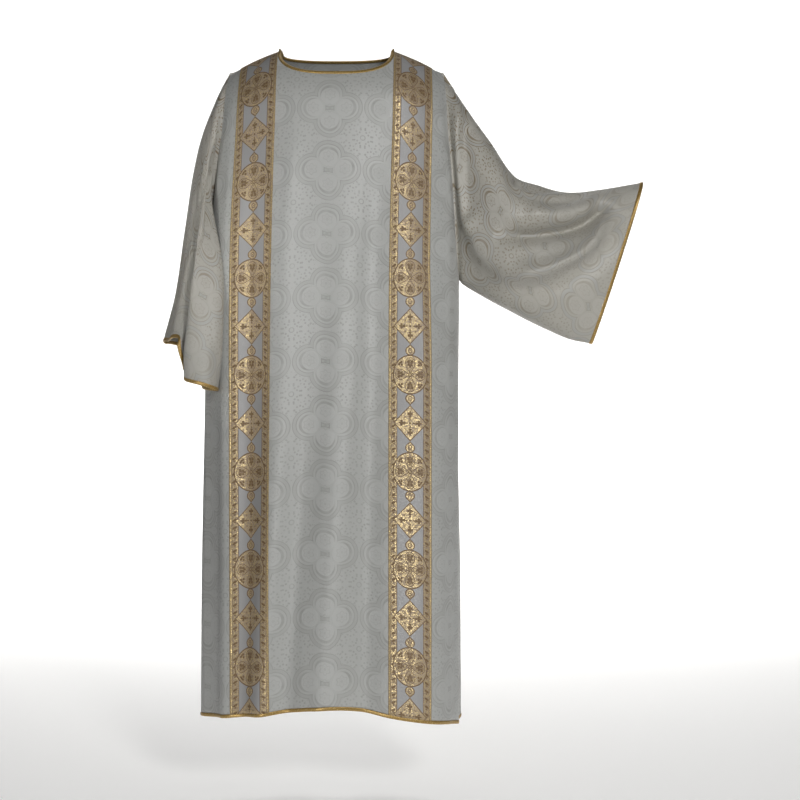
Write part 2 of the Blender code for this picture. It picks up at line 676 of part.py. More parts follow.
def main():
    for thing in list(bpy.data.objects):
        bpy.data.objects.remove(thing, do_unlink=True)
    collection = bpy.data.collections.new("dalmatic")
    bpy.context.scene.collection.children.link(collection)

    front = Surface("front_panel", *panel_grid(FRONT), False, False)
    back = Surface("back_panel", *panel_grid(BACK), False, True)
    right = Surface("sleeve_right", *sleeve_grid(front.grid, back.grid, RIGHT), True, False)
    left = Surface("sleeve_left", *sleeve_grid(front.grid, back.grid, LEFT), True, True)
    share_normals([front, back])
    share_normals([front, back, right, left])

    for panel in (front, back):
        make_panel(panel, collection)
        face = panel.name.split("_")[0]
        make_band(f"band_{face}_right", panel, RIGHT, collection)
        make_band(f"band_{face}_left", panel, LEFT, collection)
    for sleeve in (right, left):
        make_sleeve(sleeve, collection)
        make_binding(sleeve.name.replace("sleeve", "cuff_binding"), sleeve.grid[-1],
                     sleeve.grid[-2], sleeve.normals[-1], collection)
    for name, row, next_row, reach in (
            ("neck_binding", 0, 1, NECK_COLUMNS), ("hem_binding", -1, -2, HALF_COLUMNS)):
        edge = open_ring(front.grid, back.grid, row, reach)
        inside = open_ring(front.grid, back.grid, next_row, reach)
        normals = open_ring(front.normals, back.normals, row, reach)
        make_binding(name, edge, inside, normals, collection)


main()
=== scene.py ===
import math
from functools import partialmethod, reduce

import bmesh
import bpy
import numpy as np
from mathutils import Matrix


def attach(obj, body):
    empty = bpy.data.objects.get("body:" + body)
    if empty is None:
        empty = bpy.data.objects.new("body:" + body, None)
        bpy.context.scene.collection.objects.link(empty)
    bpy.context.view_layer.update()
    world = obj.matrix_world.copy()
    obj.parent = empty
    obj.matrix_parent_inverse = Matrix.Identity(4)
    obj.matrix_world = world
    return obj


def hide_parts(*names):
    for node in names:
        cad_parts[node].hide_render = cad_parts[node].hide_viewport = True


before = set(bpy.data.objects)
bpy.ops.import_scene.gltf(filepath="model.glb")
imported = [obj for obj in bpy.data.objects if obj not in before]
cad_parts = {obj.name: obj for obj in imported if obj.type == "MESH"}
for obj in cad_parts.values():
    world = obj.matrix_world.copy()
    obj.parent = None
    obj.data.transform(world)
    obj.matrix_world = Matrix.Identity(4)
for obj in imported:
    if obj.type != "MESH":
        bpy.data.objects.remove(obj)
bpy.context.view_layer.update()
print("frame loaded")

frontFace, backFace = -1, 1     # sign of y
rightSide, leftSide = -1, 1     # sign of x, the wearer's right and left


# Small helpers for tables and curves

sectionColumns = "half front back square centre"
foldColumns = "start top foot height width"
stationColumns = "topX topY topZ lowX lowY lowZ front back lean square"


def tableOf(names, rows):
    return dict(zip(names.split(), np.array(rows, float).T))


def foldsOf(rows):
    return tableOf(foldColumns, np.array(rows) / 1000)


def readAt(table, key, at, names):
    # the named columns where the key column is at, on a smooth curve through the rows
    order = np.argsort(table[key])
    knots = table[key][order]
    values = np.stack([table[name][order] for name in names.split()], 1)
    slopes = np.gradient(values, knots, axis=0)
    at = np.clip(np.asarray(at, float), knots[0], knots[-1])
    k = np.clip(np.searchsorted(knots, at, side="right") - 1, 0, len(knots) - 2)
    width = (knots[k + 1] - knots[k])[..., None]
    s = (at - knots[k])[..., None] / width
    read = ((1 + 2 * s) * (1 - s) ** 2 * values[k] + s * (1 - s) ** 2 * width * slopes[k]
            + s * s * (3 - 2 * s) * values[k + 1] + s * s * (s - 1) * width * slopes[k + 1])
    return np.moveaxis(read, -1, 0)


def eased(value):
    value = np.clip(value, 0.0, 1.0)
    return value * value * (3 - 2 * value)


def bell(distance, width):
    return np.exp(-(distance / width) ** 2)


def stepLengths(points):
    # distance from one point to the next, summed along the first axis
    steps = np.linalg.norm(np.diff(points, axis=0), axis=-1)
    return np.concatenate([np.zeros_like(steps[:1]), np.cumsum(steps, axis=0)])


# Front and back panels: the worn body, and the cloth hung on it

body = {
    "neckHalf": 0.1155,
    "neckDrop": {frontFace: 0.062, backFace: 0.012},
    "neckSquare": 2.8,
    "bandWidth": 0.082,
    "tip": 0.213,               # cut distance of the shoulder's end
    "slope": math.radians(20.5),
    "dip": 0.008, "shoulderRound": 0.12, "seamFlat": 0.05,
    "underarm": -0.465, "hemLevel": -1.3,
    "foldRise": 0.8, "creaseRise": 0.25,
    "chords": 150, "chordStep": 0.004,
    "neckLevels": 20,           # steps down from the ridge to the neckline
    "neckColumns": 36, "bandColumns": 21, "sideColumns": 30,
    "neckCrowding": 1.6, "sideCrowding": 1.7,
    "crowdedRows": 60, "armholeRows": 96, "skirtRows": 130,
    "rowCrowding": (1.5, 1.25),
    "seamDip": 0.0012, "seamDipWidth": 0.0035,
    "armholeDip": 0.0055, "armholeDipWidth": 0.014,
    "thickness": 0.0012,
    "motif": (-0.008, 0.1955),  # where a motif's centre lies in the panels' cut
    "levels": tableOf("z " + sectionColumns, [
        (0, 0.24, 0.105, 0.1, 2.4, 0),
        (-0.12, 0.245, 0.115, 0.112, 2.6, -0.001),
        (-0.25, 0.25, 0.127, 0.122, 2.7, -0.004),
        (-0.465, 0.256, 0.134, 0.126, 2.8, -0.008),
        (-0.75, 0.2545, 0.14, 0.132, 2.8, -0.009),
        (-1.05, 0.2545, 0.148, 0.141, 2.7, -0.009),
        (-1.36, 0.2555, 0.156, 0.15, 2.6, -0.009)]),
    "armhole": tableOf("z half", [
        (-0.045, 0.064), (-0.12, 0.064), (-0.2, 0.06), (-0.3, 0.05), (-0.38, 0.037),
        (-0.43, 0.024), (-0.452, 0.014), (-0.465, 0)]),
    "hem": {
        frontFace: tableOf("across z", [
            (-1, -1.337), (-0.35, -1.3125), (0, -1.3), (0.45, -1.325), (1, -1.356)]),
        backFace: tableOf("across z", [
            (-1, -1.337), (-0.4, -1.33), (0, -1.322), (0.5, -1.338), (1, -1.356)])},
    # millimetres: where a fold starts in the cut, at what level, where it meets the hem, its
    # height there and half width
    "folds": {
        frontFace: foldsOf([
            (-52, -280, -130, 10, 36), (6, -240, -88, -12, 32), (44, -220, -18, 11, 33),
            (78, -180, 58, -12, 31), (215, -180, 220, 4, 26), (262, -300, 272, -3, 24),
            (-232, -440, -236, -6, 26), (-298, -500, -306, 11, 36)]),
        backFace: foldsOf([
            (0, -200, 12, -16, 34), (-60, -240, -78, 13, 30), (58, -220, 82, 14, 30),
            (-100, -340, -128, -10, 24), (214, -260, 222, -13, 28), (-222, -300, -232, 13, 28),
            (280, -500, 292, 12, 26), (-284, -500, -292, -12, 24)])},
    # the small creases that lie on those folds
    "creases": {
        frontFace: foldsOf([
            (-195, -120, -212, 10, 28), (-148, -120, -166, -8.5, 25), (70, -450, 52, 5, 26),
            (92, -80, 76, -11, 34), (-78, -60, -132, 6, 28), (186, -400, 190, 10, 36),
            (-20, -400, -60, 1.2, 12), (30, -600, -40, -1.2, 13), (60, -450, 12, 1, 12),
            (-70, -700, -110, -1.2, 13), (240, -120, 252, 2, 12), (-214, -150, -214, 2, 10),
            (300, -600, 306, 2.4, 12), (-262, -520, -268, -2.4, 12)]),
        backFace: foldsOf([
            (30, -300, 40, -2.2, 11), (-34, -420, -38, -2.6, 12), (96, -500, 104, 2, 12),
            (-88, -660, -96, 2, 11), (246, -400, 252, 2.4, 12), (-252, -360, -258, -2.6, 12)])},
}
body["bandEdge"] = body["neckHalf"] + body["bandWidth"]
body["halfColumns"] = body["neckColumns"] + body["bandColumns"] + body["sideColumns"]


def sectionAt(z, face):
    # a quarter of the body's section at each level: arc length, x and depth
    half, ahead, behind, square, centre = readAt(body["levels"], "z", z, sectionColumns)
    depth = ahead if face == frontFace else behind
    turn = np.linspace(0, math.pi / 2, body["chords"] + 1)
    power = 2 / square[:, None]
    x = half[:, None] * np.sin(turn) ** power
    y = depth[:, None] * np.cos(turn) ** power
    steps = np.hypot(np.diff(x, axis=1), np.diff(y, axis=1))
    arc = np.concatenate([np.zeros((len(x), 1)), np.cumsum(steps, axis=1)], 1)
    return arc, x, y, centre


def onSection(arc, values, cut):
    k = np.clip((arc < cut[:, None]).sum(1) - 1, 0, arc.shape[1] - 2)
    rows = np.arange(len(cut))
    s = (cut - arc[rows, k]) / (arc[rows, k + 1] - arc[rows, k])
    return values[rows, k] * (1 - s) + values[rows, k + 1] * s


def panelEdge(z, face):
    # cut distance to the armhole or the side seam
    arc, _, y, _ = sectionAt(np.array([z]), face)
    half = float(readAt(body["armhole"], "z", z, "half")[0]) if z > body["underarm"] else 0.0
    return float(np.interp(half, y[0, ::-1], arc[0, ::-1]))


def shoulderLine(cut):
    beyond = np.maximum(cut - body["neckHalf"], 0.0)
    share = beyond / (body["tip"] - body["neckHalf"])
    x = np.minimum(cut, body["neckHalf"]) + beyond * math.cos(body["slope"])
    return x, -beyond * math.sin(body["slope"]) - body["dip"] * share ** 3


def topEdge(cut, face):
    inward = 1 - np.minimum(cut / body["neckHalf"], 1.0) ** body["neckSquare"]
    neckline = -body["neckDrop"][face] * inward ** (1 / body["neckSquare"])
    return np.where(cut < body["neckHalf"], neckline, shoulderLine(cut)[1])


def foldLift(folds, cut, z, rise):
    total = np.zeros_like(z)
    for start, top, foot, height, width in zip(*folds.values()):
        down = (top - z) / (top - body["hemLevel"])
        middle = start + (foot - start) * down
        total += height * eased(down / rise) * bell(cut - middle, width)
    return total


def panelPlace(face, signedCut, z, edge):
    # the cloth's outer face at cut distances and levels; edge is where the seam lies
    side = np.where(signedCut < 0, -1.0, 1.0)
    arc, xs, ys, centre = sectionAt(z, face)
    cut = np.minimum(np.abs(signedCut), arc[:, -1])
    x, y = onSection(arc, xs, cut), onSection(arc, ys, cut)
    ahead = np.minimum(cut + body["chordStep"], arc[:, -1])
    behind = np.maximum(cut - body["chordStep"], 0.0)
    along = np.stack([onSection(arc, xs, ahead) - onSection(arc, xs, behind),
                      onSection(arc, ys, ahead) - onSection(arc, ys, behind)])
    along /= np.linalg.norm(along, axis=0)
    ridgeX, ridgeZ = shoulderLine(cut)
    below = np.clip((ridgeZ - z) / body["shoulderRound"], 0, 1)
    spread = eased(below)
    lift = foldLift(body["folds"][face], side * cut, z, body["foldRise"])
    lift += foldLift(body["creases"][face], side * cut, z, body["creaseRise"])
    lift *= spread * eased((arc[:, -1] - cut) / body["seamFlat"])
    atArmhole = z > body["underarm"]
    dip = np.where(atArmhole, body["armholeDip"], body["seamDip"])
    dipWidth = np.where(atArmhole, body["armholeDipWidth"], body["seamDipWidth"])
    lift -= dip * bell(edge - cut, dipWidth) * spread
    x = (1 - spread) * ridgeX + spread * x - lift * along[1]
    y = y * np.sqrt(1 - (1 - below) ** 2) + lift * along[0]
    return np.stack([centre + side * x, face * y, z], 1)


def rowShare(row):
    above, below = body["rowCrowding"]
    return 1 - (1 - min(row / body["armholeRows"], 1.0) ** above) ** below


def columnCuts(row, edge):
    # cut distance of every column of one half, centre to edge, in a row that ends at edge
    share = np.linspace(0, 1, body["neckColumns"] + 1)
    turn = math.pi / 2 * (1 - (1 - share) ** body["neckCrowding"])
    crowded = np.sin(turn) ** (2 / body["neckSquare"])
    even = eased(row / body["crowdedRows"])
    neck = body["neckHalf"] * (crowded + (share - crowded) * even)
    band = body["neckHalf"] + np.linspace(0, 1, body["bandColumns"] + 1)[1:] * body["bandWidth"]
    outward = 1 - (1 - np.linspace(0, 1, body["sideColumns"] + 1)[1:]) ** body["sideCrowding"]
    return np.concatenate([neck, band, body["bandEdge"] + (edge - body["bandEdge"]) * outward])


def clothRows(face, cutsOfRow):
    # rows of points down a panel, with their place in the flat cut; cutsOfRow gives each row's
    # signed cut distances, and the cut distances that set their top edge
    tip = float(shoulderLine(body["tip"])[1])
    middleHem = float(readAt(body["hem"][face], "across", 0.0, "z")[0])
    points, cuts = [], []
    for row in range(body["armholeRows"] + body["skirtRows"] + 1):
        share = rowShare(row)
        skirt = max(row - body["armholeRows"], 0) / body["skirtRows"]
        level = tip + (body["underarm"] - tip) * share + (middleHem - body["underarm"]) * skirt
        edge = body["tip"] if row == 0 else panelEdge(level, face)
        signed, topCuts = cutsOfRow(row, edge)
        top = topEdge(np.abs(topCuts), face)
        hem = readAt(body["hem"][face], "across", signed / edge, "z")[0]
        z = top + (body["underarm"] - top) * share + (hem - body["underarm"]) * skirt
        seam = np.full(len(z), edge)
        if row >= body["armholeRows"]:
            ends = np.abs(signed) > edge - 1e-9
            signed = signed.copy()
            signed[ends] = [np.sign(s) * panelEdge(at, face)
                            for s, at in zip(signed[ends], z[ends])]
            seam[ends] = np.abs(signed[ends])
        points.append(panelPlace(face, signed, z, seam))
        cuts.append(signed)
    points, cuts = np.array(points), np.array(cuts)
    down = stepLengths(points)
    for column, cut in enumerate(cuts[0]):      # cloth above the row at the neckline
        ridge = float(shoulderLine(abs(cut))[1])
        levels = np.linspace(ridge, points[0, column, 2], body["neckLevels"])
        above = panelPlace(face, np.full_like(levels, cut), levels, np.ones_like(levels))
        down[:, column] += stepLengths(above)[-1] - ridge
    return points, np.stack([cuts, down], 2)


def panelRows(face):
    def cutsOfRow(row, edge):
        half = columnCuts(row, edge)
        top = columnCuts(0, body["tip"])
        return np.concatenate([-half[:0:-1], half]), np.concatenate([-top[:0:-1], top])
    return clothRows(face, cutsOfRow)


def surfaceNormals(grid, closed, outward):
    down = np.gradient(grid, axis=0)
    across = (np.roll(grid, -1, 1) - np.roll(grid, 1, 1)) if closed else np.gradient(grid, axis=1)
    normals = np.cross(across, down) * outward
    return normals / np.linalg.norm(normals, axis=2, keepdims=True)


# Sleeves

sleeve = {
    "rings": 120, "ringCrowding": 1.25, "chords": 240,
    "armholeFade": 0.3, "dragFade": 0.2, "creaseFade": 0.07,
    "pathSamples": 121, "pathFade": 0.2, "pathEnds": 0.15,
    "seamClear": 0.4, "dipReach": 0.7,
    "creaseEnd": 1.04, "creaseEndFade": 0.2,
    "cuffFall": 0.5,
    "clearFrom": 0.12, "clearance": 0.006, "leastClearance": 0.0003,
    "fullness": {leftSide: 0.22, rightSide: 0.0},
    "armholeSlant": math.radians(31),
    "motif": (0.086, 0.031),    # how far up and out a motif's centre lies
    "stations": {
        leftSide: tableOf("at " + stationColumns, [
            (0, 0.207, 0, -0.042, 0.248, 0, -0.465, 0.062, 0.062, 0, 2),
            (0.13, 0.262, 0, -0.119, 0.282, 0, -0.487, 0.074, 0.072, 0, 2),
            (0.27, 0.311, 0, -0.184, 0.314, 0, -0.506, 0.088, 0.082, 0, 2.1),
            (0.42, 0.357, 0, -0.25, 0.35, 0, -0.525, 0.098, 0.092, 0, 2.2),
            (0.56, 0.411, 0, -0.271, 0.388, 0, -0.545, 0.094, 0.088, 0, 2.2),
            (0.7, 0.469, 0, -0.285, 0.428, 0, -0.564, 0.084, 0.078, 0, 2.2),
            (0.85, 0.542, 0, -0.278, 0.47, 0, -0.582, 0.066, 0.064, 0, 2.1),
            (1, 0.6156, 0, -0.265, 0.513, 0, -0.591, 0.05, 0.05, 0, 2)]),
        rightSide: tableOf("at " + stationColumns, [
            (0, -0.207, 0, -0.042, -0.264, 0, -0.465, 0.062, 0.062, 0, 2),
            (0.1, -0.231, 0, -0.08, -0.271, 0, -0.484, 0.074, 0.07, 0, 2),
            (0.25, -0.27, 0.004, -0.157, -0.274, 0, -0.52, 0.096, 0.084, 0.014, 2),
            (0.42, -0.292, 0.008, -0.239, -0.272, 0, -0.558, 0.118, 0.1, 0.025, 2.1),
            (0.62, -0.31, 0.012, -0.361, -0.264, 0, -0.6, 0.136, 0.114, 0.032, 2.2),
            (0.84, -0.329, 0.016, -0.503, -0.25, 0, -0.645, 0.144, 0.122, 0.032, 2.2),
            (1, -0.349, 0.018, -0.588, -0.24, 0, -0.672, 0.146, 0.126, 0.024, 2.2)])},
    # folds of the held-out sleeve in millimetres: height, half width, path in x and z
    "drags": {
        frontFace: [
            (21, 26, [(548, -320), (510, -386), (431, -436), (354, -446), (281, -388),
                (249, -316), (236, -190), (222, -95)]),
            (-20, 20, [(549, -302), (516, -344), (482, -360), (426, -372), (379, -378),
                (315, -374)]),
            (-10, 18, [(250, -130), (257, -240), (272, -345)]),
            (-10, 18, [(340, -262), (390, -290), (437, -304), (510, -290)]),
            (9, 20, [(372, -336), (446, -340), (526, -314)]),
            (-10, 24, [(330, -492), (420, -486), (500, -440), (560, -370)])],
        backFace: [
            (16, 32, [(560, -330), (500, -410), (400, -450), (310, -410), (262, -300),
                (232, -110)]),
            (-15, 26, [(556, -292), (490, -350), (400, -372), (320, -330)]),
            (-8, 26, [(340, -500), (430, -494), (520, -430)])]},
    # small creases beside them
    "creases": {
        frontFace: [
            (-15, 11, [(312, -380), (372, -384), (418, -378), (472, -366), (505, -350),
                (529, -326), (537, -308)]),
            (12.5, 13.5, [(536, -325), (524, -355), (503, -388), (468, -418), (425, -438),
                (384, -448), (350, -447)]),
            (9, 10, [(345, -272), (395, -296), (440, -296), (500, -283)]),
            (-8, 11, [(352, -262), (390, -279), (440, -279), (490, -272)]),
            (-4, 10, [(390, -428), (438, -417), (476, -396), (496, -380)]),
            (-9, 12, [(250, -145), (254, -215), (259, -305), (269, -352)]),
            (11, 14, [(236, -105), (240, -180), (244, -260), (256, -330), (278, -378)]),
            (-3.5, 13, [(440, -448), (466, -446), (500, -428)])],
        backFace: [
            (-5, 10, [(312, -366), (372, -378), (440, -370), (505, -344)]),
            (4.5, 11, [(530, -345), (480, -402), (420, -432), (350, -424)]),
            (-4.5, 10, [(252, -140), (258, -230), (272, -330)]),
            (4, 10, [(350, -286), (420, -300), (500, -288)])]},
    # flutes of the hanging sleeve: where round the ring (0 over the arm, 0.25 front, 0.5
    # inside, 0.75 back) each starts and ends, and its height at the cuff
    "flutes": tableOf(foldColumns, [
        (0.14, 0.45, 0.256, -0.027, 0.026), (0.24, 0.3, 0.308, 0.014, 0.034),
        (0.08, 0.4, 0.195, 0.013, 0.034), (0.06, 0.3, 0.045, 0.006, 0.045),
        (0.78, 0.25, 0.79, 0.012, 0.045), (0.86, 0.42, 0.865, -0.02, 0.034)]),
    "fluteCreases": tableOf(foldColumns, [
        (0.125, 0.04, 0.135, -0.005, 0.014), (0.15, 0.45, 0.249, -0.009, 0.011),
        (0.178, 0.45, 0.274, 0.006, 0.014), (0.24, 0.3, 0.335, -0.003, 0.013),
        (0.08, 0.25, 0.085, -0.0025, 0.013), (0.82, 0.1, 0.825, -0.004, 0.015),
        (0.72, 0.2, 0.73, -0.0035, 0.014), (0.93, 0.2, 0.93, 0.0025, 0.014)]),
    # where a flute laps sideways over its neighbour: round the ring, along, widths, shift in x
    "laps": tableOf("round width along length shift", [
        (0.195, 0.028, 1, 0.6, 0.02), (0.268, 0.036, 0.72, 0.66, -0.027),
        (0.335, 0.07, 0.4, 0.5, 0.038)]),
    "cuffTilt": tableOf("round lift", [
        (0, 0.002), (0.11, 0.008), (0.222, 0.004), (0.26, -0.034), (0.31, -0.033),
        (0.4, -0.014), (0.5, 0), (0.75, 0.006), (1, 0.002)]),
}


def armholeRing(frontGrid, backGrid, side):
    edge = -1 if side == leftSide else 0
    last = body["armholeRows"]
    return np.vstack([frontGrid[:last + 1, edge], backGrid[1:last, edge][::-1]])


def ringShares(ring):
    last = body["armholeRows"]
    halves = (ring[:last + 1], np.vstack([ring[last:], ring[:1]]))
    return [stepLengths(half) / stepLengths(half)[-1] for half in halves]


def plainRing(side, at, shares):
    values = readAt(sleeve["stations"][side], "at", at, stationColumns)
    top, low = values[0:3], values[3:6]
    ahead, behind, lean, square = values[6:10]
    middle, arm = (top + low) / 2, (top - low) / 2
    points = []
    for depth, share, start in ((-ahead, shares[0], 0.0), (-behind, shares[1], math.pi)):
        turn = start + np.linspace(0, math.pi, sleeve["chords"] + 1)
        up, out = np.cos(turn), np.sin(turn)
        curve = middle + np.outer(np.sign(up) * np.abs(up) ** (2 / square), arm)
        curve[:, 0] -= side * lean * np.abs(out)
        curve[:, 1] += (depth * np.sign(out) * np.abs(out) ** (2 / square)
                        * (1 + sleeve["fullness"][side] * up))
        length = stepLengths(curve)
        half = np.stack([np.interp(share * length[-1], length, curve[:, k])
                         for k in range(3)], 1)
        points.append(half[:-1])
    return np.vstack(points)


def smoothPath(path):
    at = np.linspace(0, 1, len(path))
    rows = tableOf("at x z", np.column_stack([at, np.array(path) / 1000]))
    return readAt(rows, "at", np.linspace(0, 1, sleeve["pathSamples"]), "x z").T


def dragLift(folds, points):
    total = np.zeros(len(points))
    for height, width, path in folds:
        samples = smoothPath(path)
        gaps = np.hypot(points[:, None, 0] - samples[:, 0], points[:, None, 2] - samples[:, 1])
        along = np.argmin(gaps, axis=1) / (len(samples) - 1)
        fade = [eased(end / sleeve["pathFade"] + sleeve["pathEnds"]) for end in (along, 1 - along)]
        total += height / 1000 * fade[0] * fade[1] * bell(gaps.min(axis=1), width / 1000)
    return total


def fluteLift(flutes, at, place):
    total = np.zeros_like(place)
    for start, top, foot, height, width in zip(*flutes.values()):
        down = (at - top) / (1 - top)
        middle = start + (foot - start) * max(down, 0.0)
        total += height * eased(down) * bell(place - middle, width)
    return total


def clearOfBody(points, clearance):
    half, ahead, behind, square, centre = readAt(
        body["levels"], "z", points[:, 2], sectionColumns)
    tipX, tipZ = shoulderLine(body["tip"])
    below = np.clip((tipZ - points[:, 2]) / body["shoulderRound"], 0, 1)
    half = tipX + (half - tipX) * eased(below) + clearance
    depth = np.where(points[:, 1] < 0, ahead, behind)
    depth = depth * np.sqrt(1 - (1 - below) ** 2) + clearance
    reach = (np.abs(points[:, 0] - centre) / half) ** square
    reach += (np.abs(points[:, 1]) / depth) ** square
    grow = np.where(reach < 1, np.maximum(reach, 1e-9) ** (-1 / square), 1.0)
    return np.stack([centre + (points[:, 0] - centre) * grow, points[:, 1] * grow,
                     points[:, 2]], 1)


def sleeveRows(frontGrid, backGrid, side):
    seam = armholeRing(frontGrid, backGrid, side)
    shares = ringShares(seam)
    count, last = len(seam), body["armholeRows"]
    leave = seam - plainRing(side, 0.0, shares)
    stations = np.linspace(0, 1, sleeve["rings"] + 1) ** sleeve["ringCrowding"]
    grid = np.array([plainRing(side, at, shares)
                     + leave * (1 - eased(at / sleeve["armholeFade"])) for at in stations])
    normals = surfaceNormals(grid, True, side)
    place = np.arange(count) / count
    within = np.abs(np.sin(math.pi * np.arange(count) / last))
    atFront = np.arange(count) <= last
    moved = grid.copy()
    for k, at in enumerate(stations[1:], 1):
        if side == leftSide:
            lift = 0.0
            for folds, fade in (("drags", "dragFade"), ("creases", "creaseFade")):
                ahead, behind = (dragLift(sleeve[folds][face], grid[k])
                                 for face in (frontFace, backFace))
                lift += eased(at / sleeve[fade]) * np.where(atFront, ahead, behind)
            lift *= np.minimum(within / sleeve["seamClear"], 1.0)
        else:
            lift = fluteLift(sleeve["flutes"], at, place)
            lift += (fluteLift(sleeve["fluteCreases"], at, place)
                     * eased((sleeve["creaseEnd"] - at) / sleeve["creaseEndFade"]))
        fromSeam = stepLengths(grid[:k + 1, 0])[-1] * sleeve["dipReach"]
        lift -= body["armholeDip"] * bell(fromSeam, body["armholeDipWidth"])
        moved[k] = grid[k] + normals[k] * lift[:, None]
        if side == rightSide:
            for middle, width, along, length, shift in zip(*sleeve["laps"].values()):
                moved[k, :, 0] += shift * bell(place - middle, width) * bell(at - along, length)
            tilt = readAt(sleeve["cuffTilt"], "round", place, "lift")[0]
            moved[k, :, 2] += tilt * eased((at - sleeve["cuffFall"]) / (1 - sleeve["cuffFall"]))
            clearance = sleeve["clearance"] * eased(at / sleeve["clearFrom"])
            moved[k] = clearOfBody(moved[k], clearance + sleeve["leastClearance"])
    return moved


def sleeveCut(grid):
    # place in the flat cut: up from the underarm seam, on over the arm, and out from the
    # armhole, which is cut on a slant
    wrapped = np.concatenate([grid, grid[:, :1]], 1)
    last = body["armholeRows"]
    around = stepLengths(np.swapaxes(wrapped, 0, 1)).T
    up = np.where(np.arange(wrapped.shape[1]) <= last, around[:, last:last + 1] - around,
                  around[:, last:last + 1] + around[:, -1:] - around)
    out = stepLengths(wrapped)
    height = np.minimum(up[:1], 2 * around[:1, last:last + 1] - up[:1])
    slant = sleeve["armholeSlant"] * (1 - out / out[-1:])
    return wrapped, np.stack([up * np.cos(slant),
                              out - height * math.sin(sleeve["armholeSlant"])], 2)


# Meshes from rows of points

def link(name, data):
    holder = bpy.data.objects.new(name, data)
    bpy.context.scene.collection.objects.link(holder)
    return holder


def dress(piece, node):
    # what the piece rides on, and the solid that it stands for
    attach(piece, "root")
    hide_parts(node)


def clothMesh(name, grid, cut, outward, material, thickness):
    # grid carries its first column again at its end where the piece is a tube
    rows, columns = grid.shape[:2]
    mesh = bmesh.new()
    bmesh.ops.create_grid(mesh, x_segments=columns - 1, y_segments=rows - 1, size=0.5)
    layer = mesh.loops.layers.uv.new("cut")
    place = {}
    for vert in mesh.verts:
        column = round((vert.co.x + 0.5) * (columns - 1))
        row = round((0.5 - vert.co.y) * (rows - 1))
        place[vert.index] = (row, column)
        vert.co = grid[row, column]
    for face in mesh.faces:
        face.smooth = True
        for loop in face.loops:
            loop[layer].uv = cut[place[loop.vert.index]]
    mesh.normal_update()
    mesh.faces.ensure_lookup_table()
    middle = mesh.faces[len(mesh.faces) // 3]
    row, column = place[middle.verts[0].index]
    if middle.normal.dot(outward[row, min(column, outward.shape[1] - 1)]) < 0:
        bmesh.ops.reverse_faces(mesh, faces=mesh.faces)
    bmesh.ops.remove_doubles(mesh, verts=mesh.verts, dist=1e-7)
    made = bpy.data.meshes.new(name)
    mesh.to_mesh(made)
    mesh.free()
    made.materials.append(material)
    piece = link(name, made)
    if thickness:
        wall = piece.modifiers.new("cloth", "SOLIDIFY")
        wall.thickness = thickness
        wall.offset = -1
    return piece


# Materials

def linear(hexColour):
    parts = [int(hexColour[k:k + 2], 16) / 255 for k in (1, 3, 5)]
    return (*(p / 12.92 if p <= 0.04045 else ((p + 0.055) / 1.055) ** 2.4 for p in parts), 1.0)


def feed(node, inputs):
    # sets a node's inputs, and links those that come from another node
    for key, value in inputs.items():
        if isinstance(value, Amount):
            value = value.socket
        if isinstance(value, bpy.types.NodeSocket):
            node.id_data.links.new(value, node.inputs[key])
        else:
            node.inputs[key].default_value = value


def addNode(tree, kind, settings=None, inputs=None, output=0):
    node = tree.nodes.new("ShaderNode" + kind)
    for key, value in (settings or {}).items():
        setattr(node, key, value)
    feed(node, inputs or {})
    return node.outputs[output]


class Amount:
    # a number that varies over the cloth; arithmetic with it adds the nodes

    def __init__(self, tree, socket):
        self.tree, self.socket = tree, socket

    def work(self, operation, *others):
        inputs = dict(enumerate((self, *others)))
        return Amount(self.tree, addNode(self.tree, "Math", {"operation": operation}, inputs))

    def __rsub__(self, other):
        return self * -1 + other

    def wave(self, length):
        return (self * (2 * math.pi / length)).work("SINE")

    def wrapped(self, length):
        return self.work("WRAP", length / 2, -length / 2)

    def below(self, limit, soft, under=1.0, over=0.0):
        # 1 under the limit and 0 above it, over a soft edge
        inputs = {0: self, 1: limit - soft / 2, 2: limit + soft / 2, 3: under, 4: over}
        return Amount(self.tree, addNode(
            self.tree, "MapRange", {"interpolation_type": "SMOOTHSTEP"}, inputs))

    def above(self, limit, soft):
        return self.below(limit, soft, 0.0, 1.0)

    def line(self, at, width, soft):
        return abs(self - at).below(width / 2, soft)


for name, operation in (("__add__", "ADD"), ("__sub__", "SUBTRACT"), ("__mul__", "MULTIPLY"),
                        ("__truediv__", "DIVIDE"), ("__abs__", "ABSOLUTE"),
                        ("least", "MINIMUM"), ("most", "MAXIMUM")):
    setattr(Amount, name, partialmethod(Amount.work, operation))


def mostOf(*amounts):
    return reduce(Amount.most, amounts)


def addUp(amounts, shares):
    return reduce(Amount.__add__, (amount * share for amount, share in zip(amounts, shares)))


def farFrom(x, y, atX=0.0, atY=0.0, wideX=1.0, wideY=1.0):
    # distance from a place, in an ellipse's half widths
    x, y = (x - atX) / wideX, (y - atY) / wideY
    return (x * x + y * y).work("SQRT")


def linesAt(distance, rows, soft):
    # place, width and strength of each line
    return mostOf(*(distance.line(at, width, soft) * share for at, width, share in rows))


def spots(x, y, rows):
    # ellipses laid over one another: place, half widths, softness of the edge, strength
    return mostOf(*(farFrom(x, y, *row[:4]).below(1.0, row[4]) * row[5] for row in rows))


def dropShape(along, across, middle, radius, slant, neck):
    # how far outside a drop: a round bulb, and sides that slant to a point where along is 0
    slant = math.radians(slant)
    sides = across * math.cos(slant) - along * math.sin(slant)
    return (farFrom(along, across, middle) - radius).least(sides.most(along - neck))


def newMaterial(name):
    made = bpy.data.materials.new(name)
    made.use_nodes = True
    return made, made.node_tree, made.node_tree.nodes["Principled BSDF"]


